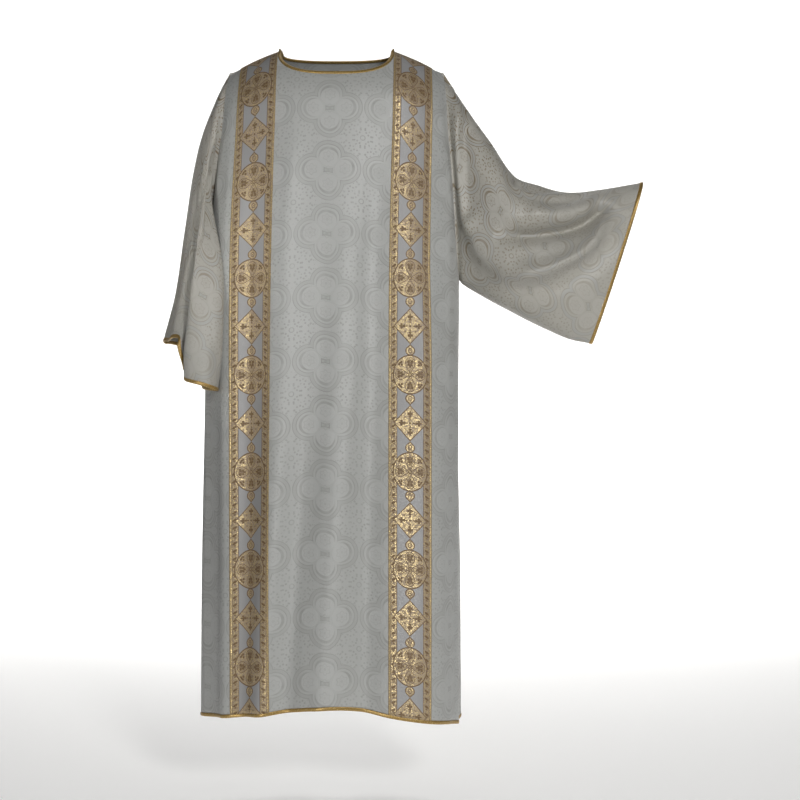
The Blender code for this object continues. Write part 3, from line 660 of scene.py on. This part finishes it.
def cutPlace(tree):
    # place in the flat cut, in millimetres
    uv = addNode(tree, "UVMap", {"uv_map": "cut"})
    return [Amount(tree, addNode(tree, "SeparateXYZ", None, {0: uv}, axis)) * 1000
            for axis in (0, 1)]


def blendColour(tree, share, under, over):
    return addNode(tree, "Mix", {"data_type": "RGBA"}, {0: share, 6: under, 7: over}, 2)


damask = {
    # the sleeve entries make a painted-shade copy of the panel damask: the same cloth with a
    # darker, warmer ground and browner, firmer lines that fade towards the cuff, painted for how
    # the light falls on the sleeves
    "panelGround": "#b4b5b2", "sleeveGround": "#b1aea5", "pale": "#ffffff", "paler": 0.04,
    "strapShade": "#a9a9a6", "strapShare": 0.6,
    "worn": "#a5a6a3", "wornFrom": 0.42, "wornShare": 0.9,
    "panelLines": "#8f8e8a", "panelFirm": -0.04, "panelFade": 0.0,
    "sleeveLines": "#7e7059", "sleeveFirm": 0.14, "sleeveFade": 0.0024,
    "patchy": 1.1, "leastFirm": 0.42,
    "noises": [                 # worn places, breaks in the figure, slubs
        {"Scale": 5.0, "Detail": 3.0}, {"Scale": 60.0, "Detail": 2.0},
        {"Scale": 420.0, "Detail": 2.0}],
    "groundRoughness": 0.4, "paleRoughness": 0.6,
    "finish": {"Sheen Weight": 0.1, "Sheen Roughness": 0.45, "Specular IOR Level": 0.6},
    "thread": 1.1,              # real threads lie 0.5 mm apart; drawn coarser so that they show
    "bump": {"Strength": 0.6, "Distance": 0.0006},
    "heights": (0.7, -0.5, 0.1, 0.35),      # of lobes, lines, threads and slubs
    # the pattern, in millimetres: its repeat, the frames of four lobes, and what is in them
    "across": 132, "down": 124.6,
    "lobeAcross": 32.5, "lobeDown": 27.5,
    "strap": (24.5, 31.5), "edgeLines": [(24.5, 1.3, 1), (31.5, 1.3, 1)],
    "lobe": 19.5, "lobeShift": 4.2, "crescent": 18.3, "crescentShare": 0.85,
    "petals": (9.4, 6, 1.6, 2.2), "rosetteEye": 2.8, "rosetteLines": [(5.2, 1.3, 0.6)],
    "heart": 3.8, "heartLines": [(9, 1.8, 1)], "fineShare": 0.4,
    "leafStep": 5.6, "leaf": (0.34, 0.16), "leafLines": [(4.6, 1.8, 1)], "leafGap": 1.8,
    "leafShare": 0.8,
    "soft": 1.0,
}


def petalRing(x, y, radius, petals, depth, width):
    turn = (y.work("ARCTAN2", x) * petals).work("COSINE") * depth
    return (farFrom(x, y) + turn).line(radius, width, damask["soft"])


def damaskFigure(tree, u, v):
    # quatrefoils in a strapwork frame that touches the next, and foliage between the frames
    size, soft = damask, damask["soft"]
    x, y = abs(u.wrapped(size["across"])), abs(v.wrapped(size["down"]))
    up, side = y - size["lobeDown"], x - size["lobeAcross"]
    lobe = farFrom(x, up).least(farFrom(side, y))
    inner, outer = size["strap"]
    strap = lobe.line((inner + outer) / 2, outer - inner, soft)
    lines = linesAt(lobe, size["edgeLines"], soft)
    # crescent: between the lobe's ring and the same ring moved inwards
    moved = farFrom(x, up + size["lobeShift"]).least(farFrom(side + size["lobeShift"], y))
    inLobe = lobe.below(size["lobe"], soft)
    crescent = inLobe * moved.above(size["crescent"], soft) * size["crescentShare"]
    rosette = mostOf(petalRing(x, up, *size["petals"]), petalRing(side, y, *size["petals"]),
                     lobe.below(size["rosetteEye"], soft),
                     linesAt(lobe, size["rosetteLines"], soft))
    heart = linesAt(x + y, size["heartLines"], soft).most((x + y).below(size["heart"], soft))
    fine = (rosette * inLobe).most(heart) * size["fineShare"]
    # foliage in the diamond between four frames, the same in all its eight parts
    p, q = abs(x - size["across"] / 2), abs(y - size["down"] / 2)
    place = addNode(tree, "CombineXYZ", None, {
        0: p.most(q) / size["leafStep"], 1: p.least(q) / size["leafStep"]})
    leaves = Amount(tree, addNode(tree, "TexVoronoi", None, {"Vector": place, "Scale": 1.0}))
    leaves = leaves.below(*size["leaf"]).most(linesAt(farFrom(p, q), size["leafLines"], soft))
    leaves = leaves * lobe.above(outer + size["leafGap"], soft) * size["leafShare"]
    return inLobe, strap, mostOf(lines, crescent, fine, leaves)


def damaskMaterial(name, part):
    # viscose damask: a satin ground that shines, and a matt twill figure a little paler
    made, tree, shader = newMaterial(name)
    u, v = cutPlace(tree)
    pale, strap, lines = damaskFigure(tree, u, v)
    place = addNode(tree, "TexCoord", output=3)
    worn, patchy, slub = (Amount(tree, addNode(tree, "TexNoise", None, {
        "Vector": place, **noise})) for noise in damask["noises"])
    worn = ((worn - damask["wornFrom"]) * damask["wornShare"]).most(0.0)
    # the weave is broken here and there, so the lines come and go a little
    firm = patchy * damask["patchy"] + damask[part + "Firm"]
    # on the sleeves the lines fade towards the cuff: painted light, for the sheen that weakens
    # their contrast there
    firm = firm * (1.0 - v * damask[part + "Fade"]).most(damask["leastFirm"])
    colour = linear(damask[part + "Ground"])
    for share, tint in ((pale * damask["paler"], "pale"),
                        (strap * damask["strapShare"], "strapShade"), (worn, "worn"),
                        ((lines * firm).least(1.0), part + "Lines")):
        colour = blendColour(tree, share, colour, linear(damask[tint]))
    rougher = damask["paleRoughness"] - damask["groundRoughness"]
    threads = u.wave(damask["thread"]) * v.wave(damask["thread"])
    height = addUp((pale, lines, threads, slub), damask["heights"])
    feed(shader, {
        "Base Color": colour,
        "Roughness": pale.most(lines) * rougher + damask["groundRoughness"],
        "Normal": addNode(tree, "Bump", None, {"Height": height, **damask["bump"]}),
        **damask["finish"]})
    return made


galloon = {
    "field": "#a09f9f", "strip": "#a08d78", "fill": "#a5927d", "edge": "#a48e6c",
    "line": "#6e5538", "lineShare": 0.9, "glint": "#f0d790", "paintedGlintShare": 0.55,
    "flake": (0.95, 1.25),      # foil threads to a millimetre, across and along
    "glinting": (0.72, 0.1), "lineDulls": 0.8,
    "askew": 0.17, "leastAskew": 0.03,          # how far each thread is turned
    "metal": 0.62, "leastMetal": 0.05, "roughness": 0.5, "glintSmooths": 0.22,
    "bump": {"Strength": 0.7, "Distance": 0.0004},
    "heights": (-0.6, 0.5, 0.18), "weft": 1.2,  # of lines, metal and weft
    # the pattern, in millimetres: a line is its place and width, then its strength
    "repeat": 189.5,
    "firstRoundel": 124.5,      # distance of a roundel from the shoulder seam
    "soft": 0.8,
    "roundel": 38.2, "roundelNarrower": 1.18, "roundelInside": 36,
    "roundelLines": [(37.4, 2.3, 1), (3.6, 1.2, 1)], "heartLines": [(7.6, 0.9, 0.8)],
    # drops: middle and radius of the bulb, slant of the sides in degrees, where they end
    "drop": (22.2, 11.6, 31.5, 16.1), "dropLines": [(-0.9, 1.3, 1), (-3.5, 0.9, 0.7)],
    "tear": (12.8, 9, 44, 6.6), "tearPoint": 59.4, "tearFrom": 38.6, "tearLines": [(-0.7, 1.8, 1)],
    "tearRing": (12.6, 0, 4.4, 3), "tearRingLine": (1, 0.36, 0.25),
    # spots: place, half widths, softness of the edge, strength
    "leaf": [(21.4, 0, 8.6, 2.9, 0.25, 1), (25.4, 4.3, 3.2, 2.5, 0.3, 1),
             (19.6, 3.9, 2.8, 1.9, 0.3, 1)],
    "veinFrom": 20, "vein": 0.5, "veinShare": 0.7,
    "trefoil": [(24.6, 19.6, 2.4, 2.4, 0.333, 1), (18.8, 18.8, 2.5, 2.5, 0.32, 1),
                (22.6, 22.6, 2.2, 2.2, 0.364, 1)],
    "lozenge": (31.7, 35.4, 23.6), "lozengeNarrower": 1.117, "lozengeInside": -2.5,
    "lozengeLines": [(-0.7, 1.6, 1)],
    "lily": [(17.6, 0, 7.4, 1.9, 0.3, 1), (18.4, 3.6, 2.6, 1.9, 0.3, 1),
             (12.2, 0, 1.3, 3.4, 0.3, 1), (8, 0, 2.6, 1.1, 0.3, 1),
             (0, 0, 1.9, 1.9, 0.421, 1), (11.6, 10.4, 1.5, 1.5, 0.533, 0.6)],
    "stripFrom": 25, "stripLines": [(25, 1.2, 1)], "stripMiddle": 31.4, "stripStep": 15,
    "stripSlant": (0.8, 0.6),
    "stripLeaf": [(0, 0, 4.6, 2.2, 0.35, 1), (2.6, 4, 2.2, 1.6, 0.4, 0.8)],
    "edgeFrom": 37.4, "edgeLines": [(36.4, 1.0, 0.8), (40.2, 0.8, 0.6)],
}


def galloonFigure(u, v):
    # layers of the woven pattern, each from 0 to 1: fill under roundels and lozenges, border
    # strips, dark lines and leaves, and the gold of the edges
    size, soft = galloon, galloon["soft"]
    a, b = abs(u), abs((v - size["firstRoundel"]).wrapped(size["repeat"]))
    t = size["repeat"] / 2 - b
    # roundel, drawn round in stretched coordinates
    x = a * size["roundelNarrower"]
    roundel = farFrom(x, b)
    inRoundel = roundel.below(size["roundel"], soft)
    m, n = x.most(b), x.least(b)
    drop = dropShape(m, n, *size["drop"])
    vein = n.below(size["vein"], size["vein"]) * m.above(size["veinFrom"], 1.0)
    inside = mostOf(
        spots(m, n, size["leaf"]) * (1.0 - vein * size["veinShare"]), spots(m, n, size["trefoil"]),
        linesAt(drop, size["dropLines"], soft), linesAt(m + n, size["heartLines"], soft))
    inside = (inside * roundel.below(size["roundelInside"], soft)).most(
        linesAt(roundel, size["roundelLines"], soft))
    # teardrop between roundel and lozenge
    along = size["tearPoint"] - b
    tear = dropShape(along, a, *size["tear"])
    outside = roundel.above(size["tearFrom"], soft)
    inTear = tear.below(0, soft) * outside
    tear = outside * mostOf(
        linesAt(tear, size["tearLines"], soft),
        farFrom(along, a, size["tearRing"][0]).below(1.0, soft),
        farFrom(along, a, *size["tearRing"]).line(*size["tearRingLine"]))
    # lozenge with a cross of four lilies
    halfWide, halfHigh, depth = size["lozenge"]
    lozenge = (a / halfWide + t / halfHigh - 1.0) * depth
    inLozenge = lozenge.below(0, soft)
    x = a * size["lozengeNarrower"]
    lily = spots(x.most(t), x.least(t), size["lily"]) * lozenge.below(size["lozengeInside"], soft)
    # border strips with slanted leaves
    clear = 1.0 - inRoundel.most(inLozenge)
    strip = a.above(size["stripFrom"], soft) * clear
    step, beside = v.wrapped(size["stripStep"]), a - size["stripMiddle"]
    c, s = size["stripSlant"]
    leaves = spots(beside * c + step * s, step * c - beside * s, size["stripLeaf"])
    leaves = leaves.most(linesAt(a, size["stripLines"], soft)) * clear
    lines = mostOf(inside, tear, linesAt(lozenge, size["lozengeLines"], soft), lily, leaves,
                   linesAt(a, size["edgeLines"], soft))
    return mostOf(inRoundel, inLozenge, inTear), strip, lines, a.above(size["edgeFrom"], soft)


def galloonMaterial():
    # woven galloon of metallic yarn: silvery field, gold figures, brown outlines
    made, tree, shader = newMaterial("metallicGalloon")
    u, v = cutPlace(tree)
    fill, strip, lines, edge = galloonFigure(u, v)
    metal = mostOf(fill, strip, edge)
    # foil threads about 1 mm long, each a little askew, so they catch the light one by one
    stretched = addNode(tree, "CombineXYZ", None, {
        0: u * galloon["flake"][0], 1: v * galloon["flake"][1]})
    flake = addNode(tree, "TexVoronoi", None, {"Vector": stretched, "Scale": 1.0}, 1)
    grain = Amount(tree, addNode(tree, "SeparateColor", None, {0: flake}))
    glint = grain.above(*galloon["glinting"]) * (1.0 - lines * galloon["lineDulls"])
    colour = linear(galloon["field"])
    # glints are partly painted: the pale gold glint tint is mixed into the colour of some foil
    # flakes as a painted highlight, beside their real metallic shine
    for share, tint in ((strip, "strip"), (fill, "fill"), (edge, "edge"),
                        (lines * galloon["lineShare"], "line"),
                        (glint * metal * galloon["paintedGlintShare"], "glint")):
        colour = blendColour(tree, share, colour, linear(galloon[tint]))
    height = addUp((lines, metal, v.wave(galloon["weft"])), galloon["heights"])
    facing = addNode(tree, "Bump", None, {"Height": height, **galloon["bump"]})
    turned = addNode(tree, "VectorMath", {"operation": "SUBTRACT"}, {
        0: flake, 1: (0.5, 0.5, 0.5)})
    turned = addNode(tree, "VectorMath", {"operation": "SCALE"}, {
        0: turned, 3: metal.most(lines) * galloon["askew"] + galloon["leastAskew"]})
    facing = addNode(tree, "VectorMath", {"operation": "ADD"}, {0: facing, 1: turned})
    feed(shader, {
        "Base Color": colour,
        "Metallic": glint * metal * galloon["metal"] + galloon["leastMetal"],
        "Roughness": galloon["roughness"] - glint * galloon["glintSmooths"],
        "Normal": addNode(tree, "VectorMath", {"operation": "NORMALIZE"}, {0: facing})})
    return made


braid = {
    "gold": "#c4a262", "paintedRibShade": "#83683a", "glint": "#f0d796",
    "rib": 1.6, "slant": 0.8,   # millimetres from one rib to the next, and their slope
    "goldShare": (0.6, 0.4), "glinting": (0.62, 0.14), "paintedGlintShare": 0.8,
    "grain": {"Scale": 0.45, "Detail": 3.0},
    "metal": 0.65, "roughness": 0.52, "grainSmooths": 0.3,
    "bump": {"Strength": 0.8, "Distance": 0.0004}, "height": 0.6,
}


def braidMaterial():
    # gold lame on the bias: fine slanted ribs, with painted shade darkening the colour between them
    # so that they look bright on their crests, and painted glints of pale gold here and there
    made, tree, shader = newMaterial("goldLame")
    u, v = cutPlace(tree)
    rib = (v + u * braid["slant"]).wave(braid["rib"]) * 0.5 + 0.5
    place = addNode(tree, "CombineXYZ", None, {0: u, 1: v})
    grain = Amount(tree, addNode(tree, "TexNoise", None, {"Vector": place, **braid["grain"]}))
    # painted shade between the ribs, and painted highlight where the grain glints
    onRib, between = braid["goldShare"]
    colour = blendColour(tree, rib * onRib + between, linear(braid["paintedRibShade"]), linear(braid["gold"]))
    colour = blendColour(tree, grain.above(*braid["glinting"]) * braid["paintedGlintShare"], colour,
                         linear(braid["glint"]))
    feed(shader, {
        "Base Color": colour, "Metallic": braid["metal"],
        "Roughness": braid["roughness"] - grain * braid["grainSmooths"],
        "Normal": addNode(tree, "Bump", None, {
            "Height": (rib + grain) * braid["height"], **braid["bump"]})})
    return made


# The cloth pieces

ivoryDamask = damaskMaterial("ivoryDamask", "panel")
# painted-shade copy of the same damask for the sleeves: darker and warmer, with browner lines
sleeveDamask = damaskMaterial("sleeveDamask", "sleeve")
metallicGalloon = galloonMaterial()
goldLame = braidMaterial()
print("materials ready")

grids, normals = {}, {}
for face, name in ((frontFace, "front_panel"), (backFace, "back_panel")):
    grids[name], cut = panelRows(face)
    normals[name] = surfaceNormals(grids[name], False, face)
    dress(clothMesh(name + "_cloth", grids[name], cut - body["motif"], normals[name],
                    ivoryDamask, body["thickness"]), name)
print("panels made")

for side, name in ((rightSide, "sleeve_right"), (leftSide, "sleeve_left")):
    grids[name] = sleeveRows(grids["front_panel"], grids["back_panel"], side)
    normals[name] = surfaceNormals(grids[name], True, side)
    wrapped, cut = sleeveCut(grids[name])
    dress(clothMesh(name + "_cloth", wrapped, cut - sleeve["motif"], normals[name],
                    sleeveDamask, body["thickness"]), name)
print("sleeves made")


# Galloon on the panels

band = {
    "columns": 30,
    "lay": 0.0007,              # height of its face over the cloth
    "thickness": 0.0005,
    "ribs": 2, "ribWidth": 0.0014, "ribHeight": 0.00035, "ribSteps": 6,
}


def bandAcross():
    # places across the galloon: fine over the ribs at its edges, even between them
    ribs = np.linspace(0, band["ribs"] * band["ribWidth"], band["ribSteps"] * band["ribs"] + 1)
    middle = np.linspace(ribs[-1], body["bandWidth"] - ribs[-1], band["columns"] + 1)
    return np.concatenate([ribs, middle[1:-1], body["bandWidth"] - ribs[::-1]])


def bandRows(face, side):
    across = bandAcross()
    cuts = np.sort(side * (body["neckHalf"] + across))
    points, cut = clothRows(face, lambda row, edge: (cuts, cuts))
    outward = surfaceNormals(points, False, face)
    fromEdge = np.minimum(across, body["bandWidth"] - across)
    rib = np.abs(np.sin(math.pi * fromEdge / band["ribWidth"]))
    lift = band["lay"] + band["ribHeight"] * rib * (fromEdge < band["ribs"] * band["ribWidth"])
    cut[..., 0] -= side * (body["neckHalf"] + body["bandWidth"] / 2)
    middle = cut[:, cut.shape[1] // 2, 1]
    cut[..., 1] = (middle[:, None] - middle[0]) * -face     # the weft lies level
    return points + outward * lift[None, :, None], cut, outward


for face, faceName in ((frontFace, "front"), (backFace, "back")):
    for side, sideName in ((rightSide, "right"), (leftSide, "left")):
        name = f"band_{faceName}_{sideName}"
        points, cut, outward = bandRows(face, side)
        dress(clothMesh(name + "_galloon", points, cut, outward, metallicGalloon,
                        band["thickness"]), name)
print("galloon laid")


# Bindings round the open edges

binding = {
    "width": 0.0058, "over": 0.0018, "thickness": 0.0034,
    "round": 12, "square": 2.6,
    "inward": 3,                # rows in from the edge, to tell which way is out
}


def bindingMesh(name, node, edge, inside, outward):
    along = np.roll(edge, -1, axis=0) - np.roll(edge, 1, axis=0)
    away = np.cross(along, outward)
    away /= np.linalg.norm(away, axis=1, keepdims=True)
    if np.sum(away * (edge - inside)) < 0:
        away = -away
    turn = np.linspace(0, 2 * math.pi, binding["round"] + 1)
    out, up = (np.sign(part) * np.abs(part) ** (2 / binding["square"])
               for part in (np.cos(turn), np.sin(turn)))
    out = (out * 0.5 + 0.5) * (binding["width"] + binding["over"]) - binding["over"]
    up = up * binding["thickness"] / 2 - body["thickness"] / 2
    edge, away, outward = (np.concatenate([rows, rows[:1]]) for rows in (edge, away, outward))
    away, outward = away[:, None], outward[:, None]
    grid = edge[:, None] + away * out[:, None] + outward * up[:, None]
    cut = np.stack(np.meshgrid(stepLengths(np.stack([out, up], 1)), stepLengths(edge)), 2)
    facing = away * np.cos(turn)[:, None] + outward * np.sin(turn)[:, None]
    dress(clothMesh(name, grid, cut, facing, goldLame, 0), node)


def openEdge(rows, row, reach):
    middle = body["halfColumns"]
    columns = np.arange(middle - reach, middle + reach + 1)
    return np.vstack([rows["front_panel"][row, columns], rows["back_panel"][row, columns[-2:0:-1]]])


for side in ("right", "left"):
    rows, outward = grids["sleeve_" + side], normals["sleeve_" + side]
    bindingMesh(f"cuff_{side}_lame", f"cuff_binding_{side}", rows[-1],
                rows[-1 - binding["inward"]], outward[-1])
for name, row, inward, reach in (("neck", 0, binding["inward"], body["neckColumns"]),
                                 ("hem", -1, -binding["inward"], body["halfColumns"])):
    bindingMesh(name + "_lame", name + "_binding", openEdge(grids, row, reach),
                openEdge(grids, row + inward, reach), openEdge(normals, row, reach))
print("bindings made")


# Floor, light and camera

studio = {
    "paper": "#dddcda", "paperRoughness": 0.95, "glowColour": "#ffffff", "glow": 0.34,
    "floorLevel": -1.52, "sweepSteps": 24,
    "near": -1.4, "far": 4.4, "sweep": 1.8, "top": 4.6, "side": 3.4,
    "world": "#ffffff", "worldStrength": 0.03,
    "camera": (0.128, -3.21, -0.706), "lens": 71.1, "sensor": 36,
    # name, place, aim, size, power, colour, how far its light spreads
    "lamps": [
        ("key", (1.15, -3.65, 0.3), (0, 0, -0.6), 0.7, 85, "#fffffe", 180),
        ("fill", (-1.2, -3.4, -0.2), (0, 0, -0.6), 1.4, 1.5, "#f4f7ff", 180),
        ("side", (-2.5, -1.9, -0.1), (-0.35, -0.03, -0.38), 0.4, 0.34, "#fffefa", 20),
        ("top", (0.2, 0.6, 2.4), (0, 0, -0.5), 2.2, 2.5, "#ffffff", 180),
        ("paperFloor", (0.1, 3.6, 3.2), (0.1, 3.0, -1.52), 2.4, 55, "#ffffff", 76),
        ("paperLeft", (-4.2, 1.8, 1.8), (-1.2, 5.4, -0.4), 2.0, 85, "#ffffff", 85),
        ("paperRight", (4.4, 1.8, 1.8), (1.4, 5.4, -0.4), 2.0, 85, "#ffffff", 85)],
}


def makeStudio():
    # a paper sweep: floor, curve and wall, from one edge extruded to the side
    turn = np.linspace(0, math.pi / 2, studio["sweepSteps"] + 1)
    ys = np.concatenate([[studio["near"]], studio["far"] + studio["sweep"] * np.sin(turn),
                         [studio["far"] + studio["sweep"]]])
    zs = studio["floorLevel"] + np.concatenate([
        [0], studio["sweep"] * (1 - np.cos(turn)), [studio["top"]]])
    mesh = bmesh.new()
    bmesh.ops.create_grid(mesh, x_segments=1, y_segments=len(ys) - 1, size=0.5)
    for vert in mesh.verts:
        k = round((vert.co.y + 0.5) * (len(ys) - 1))
        vert.co = (2 * studio["side"] * vert.co.x, ys[k], zs[k])
    for face in mesh.faces:
        face.smooth = True
    made = bpy.data.meshes.new("sweep")
    mesh.to_mesh(made)
    mesh.free()
    paper, _, shader = newMaterial("whitePaper")
    feed(shader, {"Base Color": linear(studio["paper"]), "Roughness": studio["paperRoughness"],
                  "Emission Color": linear(studio["glowColour"]),
                  "Emission Strength": studio["glow"]})
    made.materials.append(paper)
    link("sweep", made)
    for name, place, aim, size, power, colour, spread in studio["lamps"]:
        lamp = bpy.data.lights.new(name, "AREA")
        lamp.shape = "DISK"
        lamp.size = size
        lamp.energy = power
        lamp.spread = math.radians(spread)
        lamp.color = linear(colour)[:3]
        holder = link(name, lamp)
        holder.location = place
        across, away, up = np.array(aim) - np.array(place)
        holder.rotation_euler = (math.atan2(math.hypot(across, away), -up), 0,
                                 math.atan2(-across, away))
    scene = bpy.context.scene
    world = bpy.data.worlds.new("studio")
    world.use_nodes = True
    scene.world = world
    feed(world.node_tree.nodes["Background"],
         {"Color": linear(studio["world"]), "Strength": studio["worldStrength"]})
    lens = bpy.data.cameras.new("camera")
    lens.lens = studio["lens"]
    lens.sensor_width = studio["sensor"]
    camera = link("camera", lens)
    camera.location = studio["camera"]
    camera.rotation_euler = (math.pi / 2, 0, 0)
    scene.camera = camera
    scene.view_settings.view_transform = "Standard"


makeStudio()
print("studio made")
